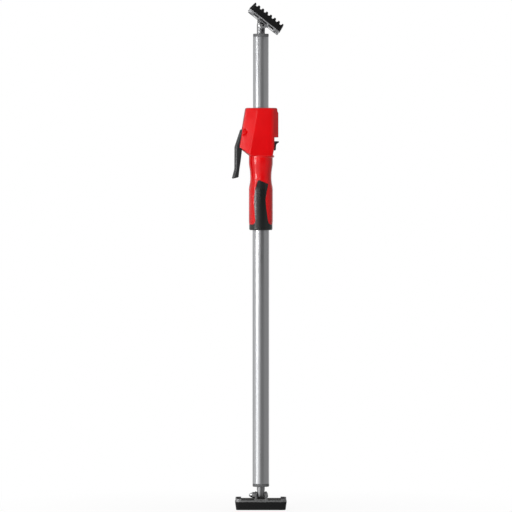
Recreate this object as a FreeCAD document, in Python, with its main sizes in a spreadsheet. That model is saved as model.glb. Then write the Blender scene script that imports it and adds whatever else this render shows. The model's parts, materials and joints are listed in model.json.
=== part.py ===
import FreeCAD, Part
import math
import os
from types import SimpleNamespace

import Sketcher

# Telescopic support prop: two sliding steel tubes, a pump grip that climbs
# along the inner tube, and a swivelling ribbed pad at each end.
# Millimetres, +Z up, origin under the foot on the tube axis.

os.makedirs("parts", exist_ok=True)
doc = FreeCAD.newDocument("telescopic_prop")
sheet = doc.addObject("Spreadsheet::Sheet", "Dims")
Vec = FreeCAD.Vector
Turn = FreeCAD.Rotation
X_AXIS = Vec(1, 0, 0)
Y_AXIS = Vec(0, 1, 0)
Z_AXIS = Vec(0, 0, 1)


class Size:
    """A length or an angle, together with the sheet formula that gives it."""

    def __init__(self, value, text):
        self.value = float(value)
        self.text = text

    def __add__(self, other):
        other = as_size(other)
        return Size(self.value + other.value, f"({self.text} + {other.text})")

    def __sub__(self, other):
        other = as_size(other)
        return Size(self.value - other.value, f"({self.text} - {other.text})")

    def __mul__(self, other):
        other = as_size(other)
        return Size(self.value * other.value, f"({self.text} * {other.text})")

    def __truediv__(self, other):
        other = as_size(other)
        return Size(self.value / other.value, f"({self.text} / {other.text})")

    def __neg__(self):
        return Size(-self.value, f"(0 - {self.text})")


def as_size(number):
    if isinstance(number, Size):
        return number
    return Size(number, repr(float(number)))


next_row = [1]


def cell(name, value, note):
    """One row of the sheet: name, value under that alias, note."""
    row = next_row[0]
    next_row[0] = row + 1
    sheet.set(f"A{row}", name)
    sheet.set(f"B{row}", str(value))
    sheet.set(f"C{row}", note)
    sheet.setAlias(f"B{row}", name)
    return Size(value, f"Dims.{name}")


def outline(name, points):
    """A drawn outline, each corner kept in the sheet."""
    corners = []
    for k, point in enumerate(points):
        first = cell(f"{name}_h{k}", point[0], f"{name} corner {k}, across")
        second = cell(f"{name}_v{k}", point[1], f"{name} corner {k}, along")
        corners.append((first, second) + tuple(point[2:]))
    return corners


d = SimpleNamespace()
MAIN_SIZES = [
    ("tube_od", 31.0, "outer tube outside diameter"),
    ("tube_bore", 29.4, "outer tube bore"),
    ("tube_high", 660.0, "outer tube upper end, inside the housing"),
    ("stay_od", 29.2, "inner tube outside diameter"),
    ("stay_bore", 26.8, "inner tube bore"),
    ("stay_low", 190.0, "inner tube lower end as shown"),
    ("foot_pivot", 26.0, "foot pivot height"),
    ("head_pivot", 905.0, "head pivot height as shown"),
    ("head_tilt", 38.0, "head tilt as shown, degrees"),
    ("end_swing", 5.0, "head and foot turned against the housing, degrees"),
    ("cap_reach", 16.0, "pivot to end cap"),
    ("cap_thick", 5.5, "end cap flange"),
    ("cap_shank", 18.0, "end cap length inside the tube"),
    ("cap_ease", 0.8, "end cap rim bevel"),
    ("cap_lead", 1.5, "end cap lead-in bevel"),
    ("cap_fit", 0.25, "room round the end cap shank"),
    ("stem_dia", 15.0, "swivel stem diameter"),
    ("stem_shank", 10.0, "stem shank inside the end cap"),
    ("eye_half", 7.0, "half width over the flats of the stem eye"),
    ("eye_flat_top", 9.5, "upper end of the flats, above the pivot"),
    ("bolt_dia", 6.0, "pivot bolt"),
    ("bolt_room", 6.2, "stem eye bore"),
    ("bolt_head_dia", 11.5, "pivot bolt head"),
    ("bolt_head_tall", 2.7, "pivot bolt head height"),
    ("bolt_rim", 0.7, "straight rim of the pivot bolt head"),
    ("bolt_crown", 7.6, "crown radius of the pivot bolt head"),
    ("bolt_flat", 2.5, "flat radius on the crown"),
    ("socket_dia", 4.6, "hexagon socket over corners"),
    ("socket_floor", 0.8, "socket floor above the head seat"),
    ("nut_wide", 11.5, "cap nut over corners"),
    ("nut_tall", 5.2, "cap nut hexagon height"),
    ("nut_dome", 6.4, "cap nut dome height"),
    ("nut_neck", 4.7, "cap nut dome radius at the hexagon"),
    ("nut_collar", 0.6, "straight start of the dome"),
    ("nut_ogive", 9.0, "bend radius of the dome side"),
    ("nut_tip", 1.1, "flat radius at the dome tip"),
    ("washer_dia", 12.0, "pivot washers"),
    ("washer_thick", 1.2, "pivot washers"),
    ("ear_in", 8.3, "inner face of a plate ear"),
    ("ear_thick", 2.5, "plate ear sheet"),
    ("ear_round", 7.0, "plate ear top radius"),
    ("ear_base", 16.0, "plate ear half width at the plate"),
    ("ear_root", 1.0, "depth of an ear in the plate"),
    ("pad_long", 96.5, "pad length at the plate"),
    ("pad_wide", 71.0, "pad width at the plate"),
    ("pad_round", 8.5, "pad corner radius"),
    ("pad_tall", 15.0, "pad height with ribs"),
    ("pad_taper", 8.0, "pad side taper, degrees"),
    ("plate_long", 95.0, "plate length"),
    ("plate_wide", 69.6, "plate width"),
    ("plate_round", 8.0, "plate corner radius"),
    ("plate_thick", 2.0, "plate sheet"),
    ("plate_reach", 11.0, "pivot to the pad side of the plate"),
    ("flange_tall", 5.9, "turned-up plate ends"),
    ("side_tall", 3.3, "turned-up plate sides"),
    ("flange_clear", 37.0, "half length of the lower sides"),
    ("notch_low", 7.0, "half width of the flange notch at the plate"),
    ("notch_high", 11.0, "half width of the flange notch at the rim"),
    ("slot_middle", 17.2, "middle of a flange slot"),
    ("slot_long", 12.0, "flange slot length"),
    ("slot_low", 3.7, "flange slot lower side, below the rim"),
    ("slot_high", 1.2, "flange slot upper side, below the rim"),
    ("key_in", 13.5, "pad key, inner end"),
    ("key_out", 40.0, "pad key, outer end"),
    ("key_half", 29.0, "pad key, half width"),
    ("key_tall", 3.9, "pad key height"),
    ("groove_pitch", 9.3, "rib spacing"),
    ("groove_wide", 5.7, "groove width"),
    ("groove_deep", 4.8, "groove depth"),
    ("grip_low", 532.6, "grip shells start above the soft ring"),
    ("grip_ease", 0.5, "grip narrower at its lower edge"),
    ("grip_lead", 6.0, "height of that narrowing"),
    ("grip_skin", 2.0, "grip blank inside the tube seat"),
    ("grip_top", 663.0, "grip blank ends inside the housing"),
    ("ring_low", 522.0, "soft ring lower edge"),
    ("ring_rad", 21.8, "soft ring radius"),
    ("ring_round", 2.5, "soft ring lower rounding"),
    ("grip_rad", 22.4, "grip radius"),
    ("waist_rad", 19.8, "grip radius at the waist"),
    ("waist_z", 621.0, "waist height"),
    ("shoulder_drop", 0.75, "grip radius lost over a shoulder"),
    ("shoulder_low", 598.0, "lower shoulder, start"),
    ("slope_low", 604.5, "lower shoulder, end"),
    ("slope_high", 641.0, "upper shoulder, start"),
    ("shoulder_high", 647.0, "upper shoulder, end"),
    ("bend_shoulder_low", 38.0, "lower shoulder bend"),
    ("bend_waist_low", 70.0, "waist bend, below"),
    ("bend_waist_high", 110.0, "waist bend, above"),
    ("bend_shoulder_high", 50.0, "upper shoulder bend"),
    ("tongue_low", 530.0, "tongue starts inside the ring"),
    ("tongue_sunk", 0.4, "tongue start below the ring surface"),
    ("tongue_proud", 0.25, "tongue above the grip surface"),
    ("tongue_deep", 2.2, "tongue below the grip surface"),
    ("lip_back", 1.9, "lip under the housing, moved to the rear"),
    ("shell_half", 22.5, "housing half width"),
    ("nose_half", 12.0, "housing nose half width"),
    ("spine_half", 10.5, "housing rear spine half width"),
    ("spine_back", 32.2, "housing rear spine"),
    ("flank_back", 19.5, "rear end of the housing flanks"),
    ("flank_round", 12.0, "rounding of the flank edges"),
    ("nose_round", 4.0, "rounding of the nose edges"),
    ("spine_round", 4.0, "rounding of the spine edges"),
    ("top_round", 3.4, "rounding of the housing top"),
    ("loft_over", 10.0, "loft reaches past the housing"),
    ("shell_top", 750.5, "housing top"),
    ("shell_low", 661.0, "housing underside at the grip"),
    ("slot_half", 9.4, "half width of the lever slot"),
    ("lever_half", 8.8, "half width of the lever"),
    ("lever_wall", 2.6, "lever cheek thickness"),
    ("lever_round", 5.0, "rounding along the back of the lever"),
    ("boss_dia", 11.2, "lever boss round the pin"),
    ("boss_inset", 1.0, "lever boss inside the cheeks"),
    ("lever_x", -31.8, "lever pivot, across"),
    ("lever_z", 704.8, "lever pivot height"),
    ("lever_pin", 6.0, "lever pivot pin"),
    ("lever_room", 6.2, "lever pivot bore"),
    ("cap_seat", 12.2, "seat of the pin caps"),
    ("cap_dia", 9.6, "pin cap diameter"),
    ("cap_rim", 0.6, "pin cap straight rim"),
    ("cap_crown", 7.2, "pin cap crown radius"),
    ("cap_tall", 2.6, "pin cap height"),
    ("cap_tip", 0.8, "flat radius on the crown"),
    ("cap_room", 12.2, "pin cap recess diameter"),
    ("roller_x", -19.4, "cam roller, across"),
    ("roller_z", 705.2, "cam roller height"),
    ("roller_dia", 5.0, "cam roller"),
    ("roller_pin", 3.0, "cam roller pin"),
    ("roller_play", 0.2, "cam roller side play"),
    ("drive_low", 708.0, "drive plate underside"),
    ("drive_thick", 4.5, "drive plate"),
    ("grip_hole", 30.2, "hole of both gripping plates"),
    ("lock_x", -20.5, "lock plate fulcrum, across"),
    ("lock_z", 684.0, "lock plate fulcrum height"),
    ("lock_thick", 4.5, "lock plate"),
    ("lock_tilt", 5.0, "lock plate cant as shown, degrees"),
    ("lock_nose", 9.6, "half width of the rounded fulcrum edge"),
    ("fulcrum_front", -21.6, "fulcrum bar, front"),
    ("fulcrum_rear", -18.4, "fulcrum bar, rear"),
    ("fulcrum_half", 14.0, "fulcrum bar half width"),
    ("fulcrum_low", 676.0, "fulcrum bar underside"),
    ("fulcrum_top", 681.2, "fulcrum bar top"),
    ("tab_half", 9.5, "release tab half width"),
    ("window_in", 19.0, "release tab window, inside"),
    ("window_out", 26.0, "release tab window, outside"),
    ("window_half", 8.6, "release tab window half width"),
    ("window_low", 676.4, "release tab window, lower edge"),
    ("window_high", 687.6, "release tab window, upper edge"),
    ("web_low", 698.0, "shelf between the two plates"),
    ("web_high", 701.0, "shelf between the two plates"),
    ("web_hole", 33.0, "hole in that shelf"),
    ("room_low", 666.0, "mechanism room floor"),
    ("room_high", 735.0, "mechanism room ceiling"),
    ("bush_bore", 29.5, "guide bush bore"),
    ("stay_bush_hole", 18.0, "inner tube bush hole"),
    ("stay_bush_rim", 7.0, "inner tube bush rim height"),
    ("stay_bush_shank", 18.0, "inner tube bush shank"),
    ("stay_bush_lead", 1.0, "inner tube bush bevel"),
    ("stay_bush_fit", 0.05, "inner tube bush running fit"),
    ("stay_bush_gap", 0.1, "inner tube bush to tube end"),
    ("low_bush_dia", 35.0, "lower guide bush"),
    ("high_bush_dia", 36.0, "upper guide bush"),
    ("high_bush_top", 745.0, "upper guide bush top"),
    ("mouth_dia", 30.4, "housing mouth"),
    ("peg_dia", 6.0, "pegs that hold the outer tube"),
    ("peg_z", 640.0, "peg height"),
    ("peg_reach", 17.5, "peg root inside the shell"),
    ("peg_clear", 0.3, "peg tip to inner tube"),
    ("screw_dia", 3.0, "housing screws"),
    ("screw_head", 5.6, "housing screw heads"),
    ("screw_head_tall", 2.2, "housing screw head height"),
    ("cross_half", 1.4, "cross recess half length"),
    ("cross_thin", 0.3, "cross recess half width"),
    ("cross_floor", 1.0, "cross recess floor above the seat"),
    ("trim_low", 500.0, "trim blocks start below the housing"),
    ("trim_high", 800.0, "trim blocks end above the housing"),
    ("trim_far", 80.0, "trim blocks reach past the housing"),
    ("coil_wide", 1.8, "spring wire across"),
    ("coil_tall", 1.8, "spring wire along"),
    ("coil_rad", 16.9, "spring middle radius"),
    ("coil_gap", 0.1, "spring end to its seat"),
    ("lock_spring_low", 686.9, "lock spring lower end"),
]
for size_name, size_value, size_note in MAIN_SIZES:
    setattr(d, size_name, cell(size_name, size_value, size_note))
d.tube_low = d.foot_pivot + d.cap_reach + d.cap_thick
d.stay_high = d.head_pivot - d.cap_reach - d.cap_thick


def bind(item, prop, size):
    item.setExpression(prop, as_size(size).text)


def value_of(number):
    return as_size(number).value


# Sketches and bodies


def new_body(name):
    return doc.addObject("PartDesign::Body", name)


def new_sketch(body, plane, offset=None):
    """A sketch on one of the body's own planes, moved out by an offset."""
    sketch = body.newObject("Sketcher::SketchObject", body.Name + "_sketch")
    planes = {feature.Role: feature for feature in body.Origin.OriginFeatures}
    sketch.AttachmentSupport = (planes[plane], [""])
    sketch.MapMode = "FlatFace"
    if offset is not None:
        bind(sketch, "AttachmentOffset.Base.z", offset)
    return sketch


def fix_point(sketch, geometry, end, across, along):
    """Hold one sketch point at two sheet sizes."""
    for kind, axis, size in (("DistanceX", -2, across), ("DistanceY", -1, along)):
        size = as_size(size)
        if abs(size.value) < 1e-9:
            sketch.addConstraint(Sketcher.Constraint("PointOnObject", geometry, end, axis))
            continue
        rule = Sketcher.Constraint(kind, -1, 1, geometry, end, size.value)
        number = sketch.addConstraint(rule)
        sketch.setExpression(f"Constraints[{number}]", size.text)


def arc_middle(start, finish, radius):
    """Middle point of a short arc; a positive radius turns left."""
    chord = finish - start
    half = chord.Length / 2
    rise = math.sqrt(max(radius * radius - half * half, 0.0))
    left = Vec(-chord.y, chord.x, 0).normalize()
    side = 1 if radius > 0 else -1
    centre = (start + finish) * 0.5 + left * (rise * side)
    return centre - left * (abs(radius) * side)


def draw_loop(sketch, points):
    """A closed outline; a third number on a corner bends its next side."""
    first = sketch.GeometryCount
    places = [Vec(value_of(p[0]), value_of(p[1]), 0) for p in points]
    count = len(points)
    ends = []
    for k, point in enumerate(points):
        start = places[k]
        finish = places[(k + 1) % count]
        if len(point) < 3:
            sketch.addGeometry(Part.LineSegment(start, finish), False)
            ends.append((1, 2))
            continue
        radius = value_of(point[2])
        middle = arc_middle(start, finish, radius)
        if radius > 0:
            sketch.addGeometry(Part.Arc(start, middle, finish), False)
            ends.append((1, 2))
        else:
            sketch.addGeometry(Part.Arc(finish, middle, start), False)
            ends.append((2, 1))
    for k, point in enumerate(points):
        after = (k + 1) % count
        here = first + k
        there = first + after
        sketch.addConstraint(
            Sketcher.Constraint("Coincident", here, ends[k][1], there, ends[after][0])
        )
        fix_point(sketch, here, ends[k][0], point[0], point[1])
        if len(point) > 2:
            size = as_size(point[2])
            rule = Sketcher.Constraint("Radius", here, abs(size.value))
            number = sketch.addConstraint(rule)
            sign = size if size.value > 0 else -size
            sketch.setExpression(f"Constraints[{number}]", sign.text)


def draw_circle(sketch, across, along, radius):
    centre = Vec(value_of(across), value_of(along), 0)
    circle = Part.Circle(centre, Z_AXIS, value_of(radius))
    number = sketch.addGeometry(circle, False)
    fix_point(sketch, number, 3, across, along)
    rule = sketch.addConstraint(Sketcher.Constraint("Radius", number, value_of(radius)))
    bind(sketch, f"Constraints[{rule}]", radius)


def rounded(half_long, half_wide, radius):
    """Corner list of a rectangle with round corners, about the origin."""
    x0 = as_size(half_long) - radius
    y0 = as_size(half_wide) - radius
    x1 = as_size(half_long)
    y1 = as_size(half_wide)
    return [
        (-x0, -y1),
        (x0, -y1, radius),
        (x1, -y0),
        (x1, y0, radius),
        (x0, y1),
        (-x0, y1, radius),
        (-x1, y0),
        (-x1, -y0, radius),
    ]


def rectangle(x0, x1, y0, y1):
    return [(x0, y0), (x1, y0), (x1, y1), (x0, y1)]


def pad(body, sketch, length, symmetric=False, down=False, taper=None):
    feature = body.newObject("PartDesign::Pad", body.Name + "_pad")
    feature.Profile = sketch
    if symmetric:
        feature.SideType = "Symmetric"
    feature.Reversed = down
    bind(feature, "Length", length)
    if taper is not None:
        bind(feature, "TaperAngle", taper)
    return feature


def pocket(body, sketch, length=None, up=False, symmetric=False):
    """Material taken away through everything, or to a depth."""
    doc.recompute()
    feature = body.newObject("PartDesign::Pocket", body.Name + "_pocket")
    feature.Profile = sketch
    feature.Reversed = up
    if symmetric:
        feature.SideType = "Symmetric"
    if length is None:
        feature.Type = "ThroughAll"
    else:
        bind(feature, "Length", length)
    return feature


def turned(name, points):
    """A piece turned about its own Z axis, from radius and height corners."""
    body = new_body(name)
    sketch = new_sketch(body, "XZ_Plane")
    draw_loop(sketch, points)
    doc.recompute()
    feature = body.newObject("PartDesign::Revolution", name + "_turn")
    feature.Profile = sketch
    feature.ReferenceAxis = (sketch, ["V_Axis"])
    feature.Angle = 360
    return body


def sawn(name, points, width, plane="XZ_Plane"):
    """A flat outline with a thickness, symmetric about its plane."""
    body = new_body(name)
    sketch = new_sketch(body, plane)
    draw_loop(sketch, points)
    pad(body, sketch, width, symmetric=True)
    return body


# Plain solids and how they combine


def put(item, at, rotation=None):
    """Place an item at three sheet sizes."""
    if rotation is not None:
        item.Placement = FreeCAD.Placement(Vec(), rotation)
    for letter, size in zip("xyz", at):
        bind(item, f"Placement.Base.{letter}", size)
    return item


def box(name, low, high):
    """A block between two corners."""
    item = doc.addObject("Part::Box", name)
    for prop, start, finish in zip(("Length", "Width", "Height"), low, high):
        bind(item, prop, as_size(finish) - start)
    return put(item, low)


ALONG = {
    "x": Turn(Y_AXIS, 90),
    "y": Turn(X_AXIS, -90),
    "z": Turn(),
}


def rod(name, radius, start, length, along="z"):
    """A round rod from a start point along one axis."""
    item = doc.addObject("Part::Cylinder", name)
    bind(item, "Radius", radius)
    bind(item, "Height", length)
    return put(item, start, ALONG[along])


def fuse(name, items):
    item = doc.addObject("Part::MultiFuse", name)
    item.Shapes = items
    item.Refine = True
    return item


def cut(name, base, tool):
    item = doc.addObject("Part::Cut", name)
    item.Base = base
    item.Tool = tool
    item.Refine = True
    return item


def common(name, items):
    item = doc.addObject("Part::MultiCommon", name)
    item.Shapes = items
    item.Refine = True
    return item


def bundle(name, items):
    item = doc.addObject("Part::Compound", name)
    item.Links = items
    return item


def round_edges(name, base, groups):
    """Round the edges that each test picks; groups are (radius, test)."""
    doc.recompute()
    item = doc.addObject("Part::Fillet", name)
    item.Base = base
    picked = {}
    for radius, test in groups:
        for number, edge in enumerate(base.Shape.Edges, start=1):
            if test(edge):
                picked[number] = radius.value
    item.Edges = [(number, radius, radius) for number, radius in picked.items()]
    return item


def middle_of(edge):
    return edge.valueAt((edge.FirstParameter + edge.LastParameter) / 2)


def direction_of(edge):
    return (edge.Vertexes[-1].Point - edge.Vertexes[0].Point).normalize()


nodes = {}


def node(name, item):
    """Mark a finished sub-part."""
    item.Label = name
    nodes[name] = item
    return item


# Swivel ends: the same pieces serve as the foot and as the head.
# Local frame: origin on the pivot, X along the pivot bolt towards its head,
# Z towards the tube.

EAR_SLOPE = math.radians(22)
RIB_BEND = 1.03


def swivel_stem(name, place):
    """Turned stem with an eye: flats, and an end rounded about the bolt."""
    rad = d.stem_dia / 2
    top = d.cap_reach + d.cap_thick + d.cap_shank
    body = turned(
        name + "_bar",
        [
            (0, -rad),
            (rad, -rad),
            (rad, d.cap_reach),
            (d.stem_shank / 2, d.cap_reach),
            (d.stem_shank / 2, top),
            (0, top),
        ],
    )
    big = d.stem_dia
    end_block = box(name + "_end_block", (-big, -big, -big), (big, big, 0))
    end_round = rod(name + "_end_round", rad, (-big, 0, 0), big * 2, "x")
    tools = [
        cut(name + "_end_corners", end_block, end_round),
        box(name + "_flat_a", (d.eye_half, -big, -big), (big, big, d.eye_flat_top)),
        box(name + "_flat_b", (-big, -big, -big), (-d.eye_half, big, d.eye_flat_top)),
        rod(name + "_eye", d.bolt_room / 2, (-big, 0, 0), big * 2, "x"),
    ]
    item = cut(name + "_cut", body, fuse(name + "_tools", tools))
    item.Placement = place
    return node(name, item)


def end_plug(name, place, over, bore):
    """End cap with a shank inside its tube."""
    flange = d.cap_reach + d.cap_thick
    top = flange + d.cap_shank
    inside = bore / 2 - d.cap_fit
    body = turned(
        name + "_turned",
        [
            (d.stem_shank / 2, d.cap_reach),
            (over / 2 - d.cap_ease, d.cap_reach),
            (over / 2, d.cap_reach + d.cap_ease),
            (over / 2, flange),
            (inside, flange),
            (inside, top - d.cap_lead),
            (inside - d.cap_lead, top),
            (d.stem_shank / 2, top),
        ],
    )
    body.Placement = place
    return node(name, body)


def swivel_plate(name, place):
    """Pressed plate: turned-up ends with slots and a notch, two ears."""
    low = -d.plate_reach
    floor = low + d.plate_thick
    rim = low + d.flange_tall
    half_long = d.plate_long / 2
    half_wide = d.plate_wide / 2
    body = new_body(name + "_pressed")
    sketch = new_sketch(body, "XY_Plane", low)
    draw_loop(sketch, rounded(half_long, half_wide, d.plate_round))
    pad(body, sketch, d.flange_tall)
    sketch = new_sketch(body, "XY_Plane", rim)
    inner = rounded(
        half_long - d.plate_thick,
        half_wide - d.plate_thick,
        d.plate_round - d.plate_thick,
    )
    draw_loop(sketch, inner)
    pocket(body, sketch, d.flange_tall - d.plate_thick)
    sketch = new_sketch(body, "XY_Plane", rim)
    clear = d.flange_clear
    draw_loop(sketch, rectangle(-clear, clear, -half_wide * 2, half_wide * 2))
    pocket(body, sketch, d.flange_tall - d.side_tall)
    sketch = new_sketch(body, "YZ_Plane")
    notch = [
        (-d.notch_low, floor),
        (d.notch_low, floor),
        (d.notch_high, rim + d.plate_thick),
        (-d.notch_high, rim + d.plate_thick),
    ]
    draw_loop(sketch, notch)
    for side in (-1, 1):
        near = d.slot_middle * side - d.slot_long / 2
        far = d.slot_middle * side + d.slot_long / 2
        draw_loop(sketch, rectangle(near, far, rim - d.slot_low, rim - d.slot_high))
    pocket(body, sketch, symmetric=True)
    sketch = new_sketch(body, "XY_Plane", floor)
    for x0, x1 in ((d.key_in, d.key_out), (-d.key_out, -d.key_in)):
        draw_loop(sketch, rectangle(x0, x1, -d.key_half, d.key_half))
    pocket(body, sketch)
    shoulder = d.ear_round * math.cos(EAR_SLOPE)
    above = d.ear_round * math.sin(EAR_SLOPE)
    for start in (d.ear_in, -d.ear_in - d.ear_thick):
        doc.recompute()
        sketch = new_sketch(body, "YZ_Plane", start)
        ear = [
            (-d.ear_base, floor - d.ear_root),
            (d.ear_base, floor - d.ear_root),
            (shoulder, above, d.ear_round),
            (-shoulder, above),
        ]
        draw_loop(sketch, ear)
        draw_circle(sketch, 0, 0, d.bolt_dia / 2)
        pad(body, sketch, d.ear_thick)
    body.Placement = place
    return node(name, body)


def swivel_pad(name, place):
    """Moulded pad: tapered block, ribs, and two keys through the plate."""
    low = -d.plate_reach
    face = low - d.pad_tall
    body = new_body(name + "_moulded")
    sketch = new_sketch(body, "XY_Plane", low)
    draw_loop(sketch, rounded(d.pad_long / 2, d.pad_wide / 2, d.pad_round))
    pad(body, sketch, d.pad_tall, down=True, taper=-d.pad_taper)
    doc.recompute()
    sketch = new_sketch(body, "XY_Plane", low)
    for x0, x1 in ((d.key_in, d.key_out), (-d.key_out, -d.key_in)):
        draw_loop(sketch, rectangle(x0, x1, -d.key_half, d.key_half))
    pad(body, sketch, d.key_tall)
    sketch = new_sketch(body, "YZ_Plane")
    half = d.groove_wide / 2
    bend = half * RIB_BEND
    for step in range(-3, 4):
        middle = d.groove_pitch * step
        high = face + d.groove_deep - half
        draw_loop(
            sketch,
            [
                (middle - half, face - d.plate_thick),
                (middle + half, face - d.plate_thick),
                (middle + half, high, bend),
                (middle - half, high),
            ],
        )
    pocket(body, sketch, symmetric=True)
    body.Placement = place
    return node(name, body)


def pivot_bolt(name, place):
    """Round-head bolt with a hexagon socket, lying along local X."""
    over = d.ear_in + d.ear_thick
    rad = d.bolt_dia / 2
    head = d.bolt_head_dia / 2
    tail = -over - d.nut_tall
    body = turned(
        name + "_turned",
        [
            (0, tail),
            (rad, tail),
            (rad, over),
            (head, over),
            (head, over + d.bolt_rim, d.bolt_crown),
            (d.bolt_flat, over + d.bolt_head_tall),
            (0, over + d.bolt_head_tall),
        ],
    )
    socket = doc.addObject("Part::Prism", name + "_socket")
    socket.Polygon = 6
    bind(socket, "Circumradius", d.socket_dia / 2)
    bind(socket, "Height", d.bolt_head_tall)
    put(socket, (0, 0, over + d.socket_floor))
    item = cut(name + "_cut", body, socket)
    item.Placement = place * FreeCAD.Placement(Vec(), ALONG["x"])
    return node(name, item)


def cap_nut(name, place):
    """Domed hexagon nut on the tail of the pivot bolt."""
    over = d.ear_in + d.ear_thick
    hexagon = doc.addObject("Part::Prism", name + "_hexagon")
    hexagon.Polygon = 6
    bind(hexagon, "Circumradius", d.nut_wide / 2)
    bind(hexagon, "Height", d.nut_tall)
    put(hexagon, (0, 0, over))
    face = over + d.nut_tall
    dome = turned(
        name + "_dome",
        [
            (0, over),
            (d.nut_neck, over),
            (d.nut_neck, face + d.nut_collar, d.nut_ogive),
            (d.nut_tip, face + d.nut_dome),
            (0, face + d.nut_dome),
        ],
    )
    body = fuse(name + "_body", [hexagon, dome])
    bore = rod(name + "_bore", d.bolt_dia / 2, (0, 0, 0), face)
    item = cut(name + "_cut", body, bore)
    item.Placement = place * FreeCAD.Placement(Vec(), Turn(Y_AXIS, -90))
    return node(name, item)


def washers(name, place):
    """Two washers between the stem eye and the ears."""
    rings = []
    for k, start in enumerate((d.ear_in - d.washer_thick, -d.ear_in)):
        disc = rod(f"{name}_disc{k}", d.washer_dia / 2, (start, 0, 0), d.washer_thick, "x")
        hole = rod(f"{name}_hole{k}", d.bolt_dia / 2, (start, 0, 0), d.washer_thick, "x")
        rings.append(cut(f"{name}_ring{k}", disc, hole))
    item = bundle(name + "_pair", rings)
    item.Placement = place
    return node(name, item)


facing = Turn(Z_AXIS, -d.end_swing.value)
across = Turn(Z_AXIS, -90)
foot_place = FreeCAD.Placement(Vec(0, 0, d.foot_pivot.value), facing)


def over_head(tilt):
    """Placement of a head piece, turned upside down and tilted."""
    flip = Turn(Y_AXIS, 180 + tilt)
    return FreeCAD.Placement(
        Vec(0, 0, d.head_pivot.value), facing.multiply(flip).multiply(across)
    )


head_place = over_head(d.head_tilt.value)
head_stem_place = over_head(0)

for end, tilted, straight, over, bore in (
    ("foot", foot_place, foot_place, d.tube_od, d.tube_bore),
    ("head", head_place, head_stem_place, d.stay_od, d.stay_bore),
):
    swivel_stem(end + "_stem", straight)
    end_plug(end + "_end_cap", straight, over, bore)
    swivel_plate(end + "_plate", tilted)
    swivel_pad(end + "_pad", tilted)
    pivot_bolt(end + "_pivot_bolt", tilted)
    cap_nut(end + "_cap_nut", tilted)
    washers(end + "_washers", tilted)


# Tubes

outer = turned(
    "outer_tube_blank",
    rectangle(d.tube_bore / 2, d.tube_od / 2, d.tube_low, d.tube_high),
)
peg_hole = rod(
    "peg_hole", d.peg_dia / 2, (0, -d.tube_od, d.peg_z), d.tube_od * 2, "y"
)
node("outer_tube", cut("outer_tube_cut", outer, peg_hole))

stay_rad = d.stay_od / 2
node(
    "inner_tube",
    turned(
        "inner_tube_turned",
        rectangle(d.stay_bore / 2, stay_rad, d.stay_low, d.stay_high),
    ),
)
bush_rad = d.tube_bore / 2 - d.stay_bush_fit
spigot = d.stay_bore / 2 - d.stay_bush_fit
bush_low = d.stay_low - d.stay_bush_rim
bush_seat = d.stay_low - d.stay_bush_gap
bush_high = d.stay_low + d.stay_bush_shank
node(
    "inner_tube_bush",
    turned(
        "inner_tube_bush_turned",
        [
            (d.stay_bush_hole / 2, bush_low),
            (bush_rad - d.stay_bush_lead, bush_low),
            (bush_rad, bush_low + d.stay_bush_lead),
            (bush_rad, bush_seat),
            (spigot, bush_seat),
            (spigot, bush_high),
            (d.stay_bush_hole / 2, bush_high),
        ],
    ),
)


# Housing: plan loft trimmed to the side outline, joined to the turned grip


def plan_corners(nose, flank):
    """Half-hexagon plan of the housing, seen from above."""
    return [
        (nose, -d.nose_half),
        (flank, -d.shell_half),
        (d.flank_back, -d.shell_half),
        (d.spine_back, -d.spine_half),
        (d.spine_back, d.spine_half),
        (d.flank_back, d.shell_half),
        (flank, d.shell_half),
        (nose, d.nose_half),
    ]


plan = new_body("housing_plan")
low_plan = new_sketch(plan, "XY_Plane", d.shell_low - d.loft_over)
nose_low = cell("nose_low", -45.4, "housing nose at the bottom of the loft")
flank_low = cell("flank_low", -25.4, "housing flank edge at the bottom of the loft")
nose_high = cell("nose_high", -27.0, "housing nose at the top of the loft")
flank_high = cell("flank_high", -5.6, "housing flank edge at the top of the loft")
draw_loop(low_plan, plan_corners(nose_low, flank_low))
high_plan = new_sketch(plan, "XY_Plane", d.shell_top + d.loft_over)
draw_loop(high_plan, plan_corners(nose_high, flank_high))
doc.recompute()
loft = plan.newObject("PartDesign::AdditiveLoft", "housing_loft")
loft.Profile = low_plan
loft.Sections = [high_plan]
loft.Ruled = True

side = outline(
    "shell",
    [
        (-60, 750.5),
        (-60, 691.5),
        (-24.8, 664.8),
        (-20.0, 661.0),
        (20.4, 661.0),
        (21.2, 664.0),
        (23.9, 679.0),
        (23.9, 695.4),
        (50.0, 695.4),
        (50.0, 738.0),
        (32.2, 740.5),
        (30.2, 744.0),
        (30.0, 750.5),
    ],
)
housing_side = sawn("housing_side", side, d.shell_half * 4)
housing_raw = common("housing_raw", [plan, housing_side])


STEEP = 0.9
CLOSE = 0.2


def steep(edge):
    return abs(direction_of(edge).z) > STEEP


def beside(edge, half):
    """The edge runs at this half width, on either side."""
    return steep(edge) and abs(abs(middle_of(edge).y) - half.value) < CLOSE


def flank_edge(edge):
    return beside(edge, d.shell_half)


def nose_edge(edge):
    return beside(edge, d.nose_half) and middle_of(edge).x < 0


def spine_edge(edge):
    spot = middle_of(edge)
    return steep(edge) and spot.z > d.web_high.value and spot.x > d.spine_back.value - d.spine_round.value


housing_soft = round_edges(
    "housing_soft",
    housing_raw,
    [(d.flank_round, flank_edge), (d.nose_round, nose_edge), (d.spine_round, spine_edge)],
)


def top_edge(edge):
    return edge.BoundBox.ZMin > d.shell_top.value - CLOSE


housing_head = round_edges("housing_head", housing_soft, [(d.top_round, top_edge)])


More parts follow.
